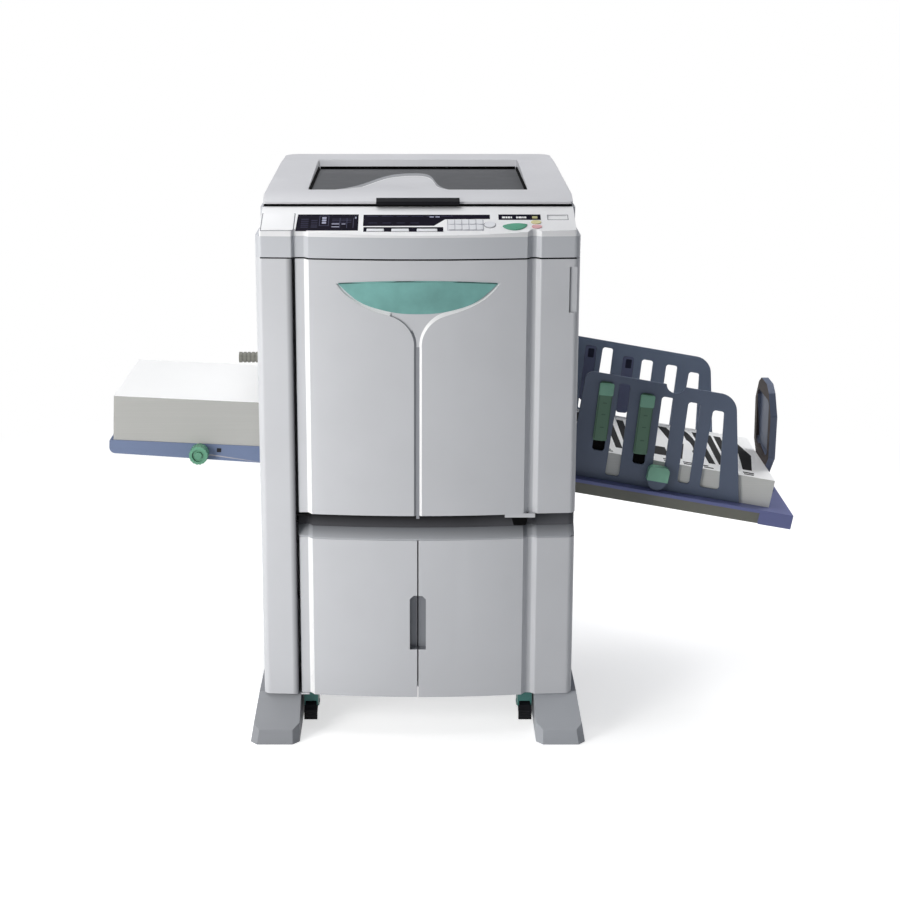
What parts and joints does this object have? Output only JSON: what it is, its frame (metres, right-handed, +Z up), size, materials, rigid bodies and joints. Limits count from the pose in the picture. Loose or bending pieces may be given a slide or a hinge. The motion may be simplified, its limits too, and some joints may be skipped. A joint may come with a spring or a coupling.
{
  "type": "digital duplicator",
  "caption": "Floor-standing stencil duplicator with flatbed lid, sloping control panel, feed tray, fenced receiving tray, front door and a stand with doors, casters and skid feet.",
  "frame": {"origin": "on the floor at the middle of the whole machine's length and depth, trays included", "axes": "+Z up, +X to the operator's right towards the receiving tray, +Y from the front door to the back"},
  "size_m": [1.3908, 0.67, 1.073],
  "materials": {
    "body_grey": "satin",
    "foot_grey": "matte",
    "lid_white": "satin",
    "panel_white": "satin",
    "display_dark": "gloss",
    "key_green": "satin",
    "key_pink": "satin",
    "key_yellow": "satin",
    "key_grey": "satin",
    "emblem_green": "satin",
    "inset_grey": "matte",
    "black_plastic": "matte",
    "fence_blue": "satin",
    "tray_blue": "satin",
    "arranger_green": "satin",
    "tray_grey": "matte",
    "paper": "matte",
    "glass": "clear",
    "white_pad": "matte",
    "steel": "brushed",
    "frame_steel": "matte",
    "drum_skin": "satin",
    "roller_rubber": "matte",
    "caster_teal": "satin",
    "tread": "matte",
    "ink_case": "satin",
    "master_paper": "matte"
  },
  "bodies": {
    "casing": {"stand_cabinet": "body_grey", "foot_left": "foot_grey", "foot_right": "foot_grey", "left_column_cover": "body_grey", "caster_fork_left": "caster_teal", "caster_fork_right": "caster_teal", "rear_caster_brackets": "steel", "left_side_cover": "body_grey", "right_side_cover": "body_grey", "rear_cover": "body_grey", "power_inlet": "black_plastic", "upper_housing": "body_grey", "platen_glass": "glass", "scanner_rails": "steel", "control_panel": "panel_white", "panel_windows": "display_dark", "number_keypad": "key_grey", "machine_frame": "frame_steel", "ink_cartridge": "ink_case", "ejection_belts": "roller_rubber", "main_motor": "steel", "receiving_tray": "tray_blue", "printed_stack": "paper"},
    "left_stand_door": {"stand_door_left": "body_grey"},
    "right_stand_door": {"stand_door_right": "body_grey"},
    "left_wheel": {"caster_wheel_left": "tread"},
    "right_wheel": {"caster_wheel_right": "tread"},
    "left_brake": {"brake_pedal_left": "black_plastic"},
    "right_brake": {"brake_pedal_right": "black_plastic"},
    "back_wheels": {"rear_wheels": "tread"},
    "carriage": {"scanner_carriage": "black_plastic"},
    "start": {"start_key": "key_green"},
    "test": {"test_key": "key_yellow"},
    "stop": {"stop_key": "key_pink"},
    "clear": {"clear_key": "key_grey"},
    "function_left": {"function_key_left": "key_grey"},
    "function_middle": {"function_key_middle": "key_grey"},
    "function_right": {"function_key_right": "key_grey"},
    "platen_cover": {"lid": "lid_white", "lid_inset": "inset_grey", "lid_grip": "black_plastic", "platen_pad": "white_pad"},
    "unit_door": {"front_door": "body_grey", "door_emblem": "emblem_green"},
    "latch": {"latch_grip": "black_plastic"},
    "drum": {"print_drum": "drum_skin"},
    "press": {"press_roller": "roller_rubber"},
    "pickup": {"pickup_roller": "roller_rubber"},
    "master": {"master_roll": "master_paper"},
    "feed": {"feed_tray": "tray_grey", "paper_stack": "paper"},
    "knob": {"feed_knob": "key_green"},
    "lever": {"feed_lever": "arranger_green"},
    "front_fence": {"fence_front": "fence_blue", "grip_front": "arranger_green"},
    "rear_fence": {"fence_rear": "fence_blue", "grip_rear": "arranger_green"},
    "front_arrangers": {"arrangers_front": "arranger_green"},
    "rear_arrangers": {"arrangers_rear": "arranger_green"},
    "paper_stop": {"end_stop": "fence_blue"}
  },
  "joints": [
    {"name": "stand_door_left_hinge", "type": "hinge", "parent": "casing", "child": "left_stand_door", "pos_m": [-0.29041, -0.266, 0.24], "axis": [0, 0, -1], "range_deg": [0, 90]},
    {"name": "stand_door_right_hinge", "type": "hinge", "parent": "casing", "child": "right_stand_door", "pos_m": [0.23059, -0.255, 0.24], "axis": [0, 0, 1], "range_deg": [0, 90]},
    {"name": "caster_spin_left", "type": "hinge", "parent": "casing", "child": "left_wheel", "pos_m": [-0.28141, -0.203, 0.0295], "axis": [1, 0, 0], "continuous": true},
    {"name": "brake_press_left", "type": "hinge", "parent": "casing", "child": "left_brake", "pos_m": [-0.28141, -0.241, 0.042], "axis": [1, 0, 0], "range_deg": [0, 15]},
    {"name": "caster_spin_right", "type": "hinge", "parent": "casing", "child": "right_wheel", "pos_m": [0.14459, -0.203, 0.0295], "axis": [1, 0, 0], "continuous": true},
    {"name": "brake_press_right", "type": "hinge", "parent": "casing", "child": "right_brake", "pos_m": [0.14459, -0.241, 0.042], "axis": [1, 0, 0], "range_deg": [0, 15]},
    {"name": "rear_wheel_spin", "type": "hinge", "parent": "casing", "child": "back_wheels", "pos_m": [-0.06841, 0.265, 0.0295], "axis": [1, 0, 0], "continuous": true},
    {"name": "carriage_slide", "type": "slide", "parent": "casing", "child": "carriage", "axis": [1, 0, 0], "range_m": [0, 0.368]},
    {"name": "start_press", "type": "slide", "parent": "casing", "child": "start", "axis": [0, 0.3764, -0.9265], "range_m": [0, 0.0012], "stiffness_N_per_m": 300},
    {"name": "test_press", "type": "slide", "parent": "casing", "child": "test", "axis": [0, 0.3764, -0.9265], "range_m": [0, 0.0012], "stiffness_N_per_m": 300},
    {"name": "stop_press", "type": "slide", "parent": "casing", "child": "stop", "axis": [0, 0.3764, -0.9265], "range_m": [0, 0.0012], "stiffness_N_per_m": 300},
    {"name": "clear_press", "type": "slide", "parent": "casing", "child": "clear", "axis": [0, 0.3764, -0.9265], "range_m": [0, 0.0012], "stiffness_N_per_m": 300},
    {"name": "function_left_press", "type": "slide", "parent": "casing", "child": "function_left", "axis": [0, 0.3764, -0.9265], "range_m": [0, 0.0012], "stiffness_N_per_m": 300},
    {"name": "function_middle_press", "type": "slide", "parent": "casing", "child": "function_middle", "axis": [0, 0.3764, -0.9265], "range_m": [0, 0.0012], "stiffness_N_per_m": 300},
    {"name": "function_right_press", "type": "slide", "parent": "casing", "child": "function_right", "axis": [0, 0.3764, -0.9265], "range_m": [0, 0.0012], "stiffness_N_per_m": 300},
    {"name": "lid_hinge", "type": "hinge", "parent": "casing", "child": "platen_cover", "pos_m": [-0.06841, 0.329, 1.05], "axis": [-1, 0, 0], "range_deg": [0, 75]},
    {"name": "front_door_hinge", "type": "hinge", "parent": "casing", "child": "unit_door", "pos_m": [-0.29041, -0.266, 0.7], "axis": [0, 0, -1], "range_deg": [0, 90]},
    {"name": "latch_pull", "type": "hinge", "parent": "unit_door", "child": "latch", "pos_m": [0.12759, -0.275, 0.451], "axis": [-1, 0, 0], "range_deg": [0, 20], "stiffness_Nm_per_rad": 0.05},
    {"name": "drum_spin", "type": "hinge", "parent": "casing", "child": "drum", "pos_m": [-0.06841, 0.025, 0.7], "axis": [0, 1, 0], "continuous": true},
    {"name": "press_roller_spin", "type": "hinge", "parent": "casing", "child": "press", "pos_m": [-0.06841, 0.025, 0.5835], "axis": [0, 1, 0], "continuous": true},
    {"name": "pickup_spin", "type": "hinge", "parent": "casing", "child": "pickup", "pos_m": [-0.33105, 0.025, 0.63772], "axis": [0, 1, 0], "continuous": true},
    {"name": "master_roll_spin", "type": "hinge", "parent": "casing", "child": "master", "pos_m": [0.12159, 0.025, 0.865], "axis": [0, 1, 0], "continuous": true},
    {"name": "feed_tray_lift", "type": "slide", "parent": "casing", "child": "feed", "axis": [0, 0, 1], "range_m": [-0.045, 0]},
    {"name": "feed_knob_spin", "type": "hinge", "parent": "feed", "child": "knob", "pos_m": [-0.5121, -0.105, 0.51362], "axis": [0, 1, 0], "continuous": true},
    {"name": "feed_lever_turn", "type": "hinge", "parent": "casing", "child": "lever", "pos_m": [-0.37141, -0.135, 0.728], "axis": [1, 0, 0], "range_deg": [-30, 30]},
    {"name": "fence_front_slide", "type": "slide", "parent": "casing", "child": "front_fence", "axis": [0, -1, 0], "range_m": [0, 0.018]},
    {"name": "fence_rear_slide", "type": "slide", "parent": "casing", "child": "rear_fence", "axis": [0, 1, 0], "range_m": [0, 0.018]},
    {"name": "arrangers_front_slide", "type": "slide", "parent": "front_fence", "child": "front_arrangers", "axis": [-0.1011, 0, -0.9949], "range_m": [0, 0.018]},
    {"name": "arrangers_rear_slide", "type": "slide", "parent": "rear_fence", "child": "rear_arrangers", "axis": [-0.1011, 0, -0.9949], "range_m": [0, 0.018]},
    {"name": "end_stop_slide", "type": "slide", "parent": "casing", "child": "paper_stop", "axis": [0.9845, 0, -0.1754], "range_m": [0, 0.01]}
  ],
  "couplings": [
    {"joint": "press_roller_spin", "follows": "drum_spin", "ratio": -3.1429}
  ]
}
